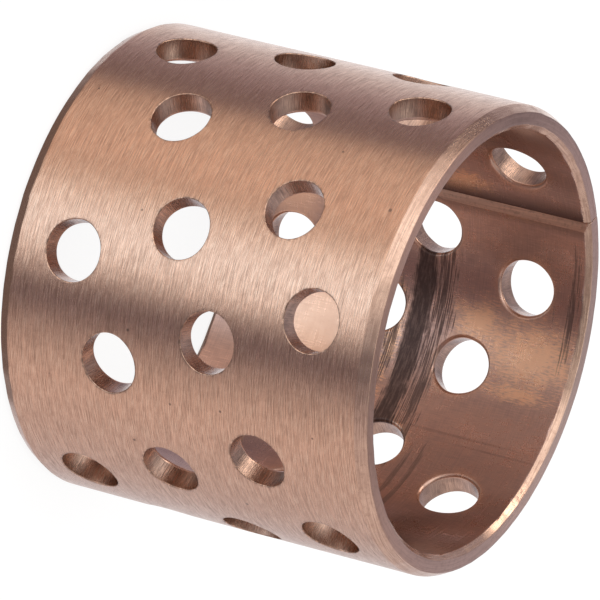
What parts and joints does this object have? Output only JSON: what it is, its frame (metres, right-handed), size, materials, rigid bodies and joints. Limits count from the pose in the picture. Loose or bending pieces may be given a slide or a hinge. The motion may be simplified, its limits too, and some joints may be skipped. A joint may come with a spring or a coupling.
{
  "type": "wrapped bronze bushing",
  "caption": "Plain sleeve bearing rolled from punched bronze strip, with staggered grease holes through its wall, a butt seam and chamfered ends.",
  "frame": {"origin": "on the bore axis, in the plane of the end that the bushing stands on", "axes": "+Z along the bore axis, up through the open top end; the butt seam lies at 130.5 degrees about +Z from +X"},
  "size_m": [0.039, 0.039, 0.034],
  "materials": {
    "bronze": "satin"
  },
  "bodies": {
    "root": {"wrapped_bushing": "bronze"}
  },
  "joints": []
}
